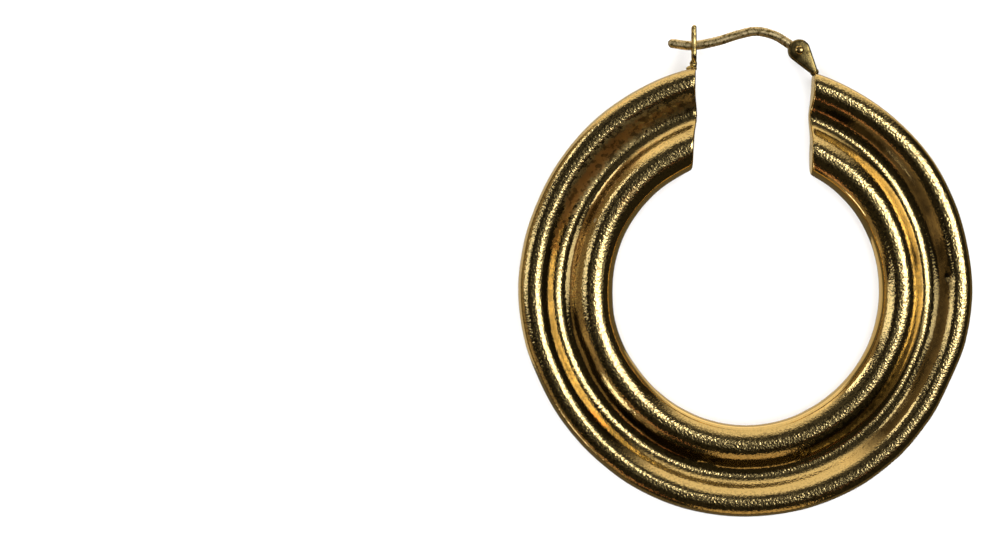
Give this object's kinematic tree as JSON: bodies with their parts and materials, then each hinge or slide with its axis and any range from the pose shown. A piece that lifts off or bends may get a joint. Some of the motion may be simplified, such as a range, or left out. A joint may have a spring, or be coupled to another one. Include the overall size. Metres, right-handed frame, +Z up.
{
  "type": "hoop earring",
  "caption": "Hollow fluted hoop earring with round beads either side of a channel, closed by a hinged bent ear wire that drops into a forked catch.",
  "frame": {"origin": "centre of the bounding box at the base: the hoop lies on its side and its bead crests rest on z = 0", "axes": "+Z up, out of the hoop's front face; +Y from the hoop's centre towards its gap and ear wire; +X to the hinge side"},
  "size_m": [0.05, 0.054, 0.0056],
  "materials": {
    "gilt_hoop": "polished gold-tone metal, rubbed and lightly tarnished in the channel",
    "gilt_wire": "worn, greyer gold-tone wire with fine scuffs",
    "gilt_rivet": "peened rivet heads, dark in the corners"
  },
  "bodies": {
    "hoop": {"hoop": "gilt_hoop", "hinge_rivet": "gilt_rivet"},
    "ear_wire": {"ear_wire": "gilt_wire"}
  },
  "joints": [
    {"name": "ear_wire_hinge", "type": "hinge", "parent": "hoop", "child": "ear_wire", "pos_m": [0.00583, 0.02426, 0.0028], "axis": [0, 0, -1], "range_deg": [0, 100]}
  ]
}
